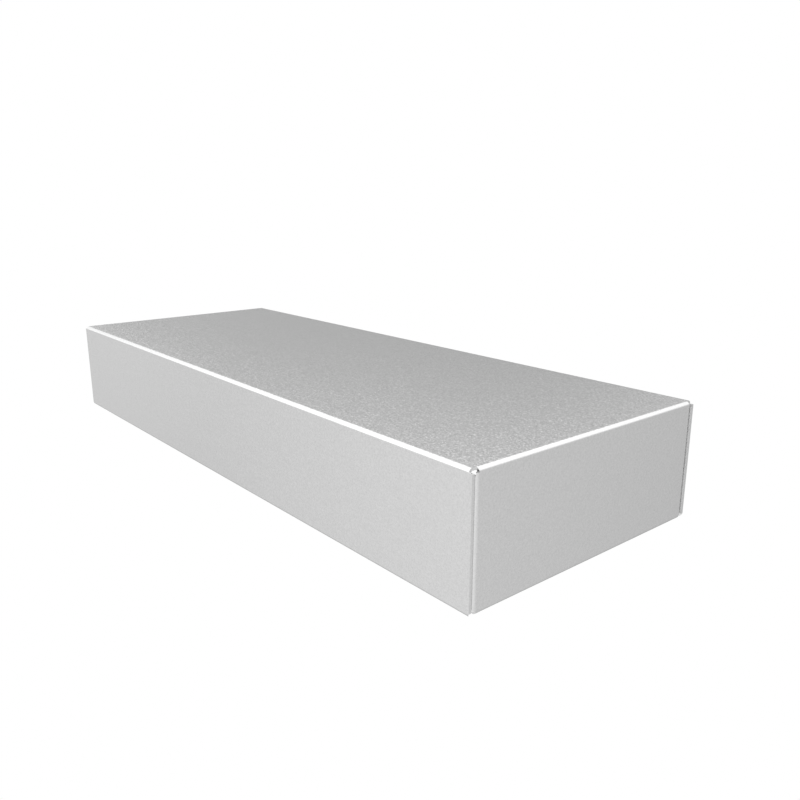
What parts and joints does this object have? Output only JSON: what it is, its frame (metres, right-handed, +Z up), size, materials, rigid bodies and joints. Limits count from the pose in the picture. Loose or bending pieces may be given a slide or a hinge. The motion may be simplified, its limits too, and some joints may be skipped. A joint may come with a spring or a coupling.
{
  "type": "electronics chassis",
  "caption": "Folded sheet aluminium chassis: flat closed deck, plain walls, welded corner tabs and mitred flanges turned in round the open bottom, for mounting and wiring electronic parts.",
  "frame": {"origin": "centre of the base, on the plane of the bottom flanges", "axes": "+X along the length, +Y across the width, +Z up through the deck"},
  "size_m": [0.343, 0.127, 0.0508],
  "materials": {
    "sheet": "plain mill finish, lightly brushed along the length, satin"
  },
  "bodies": {
    "root": {"chassis": "sheet"}
  },
  "joints": []
}
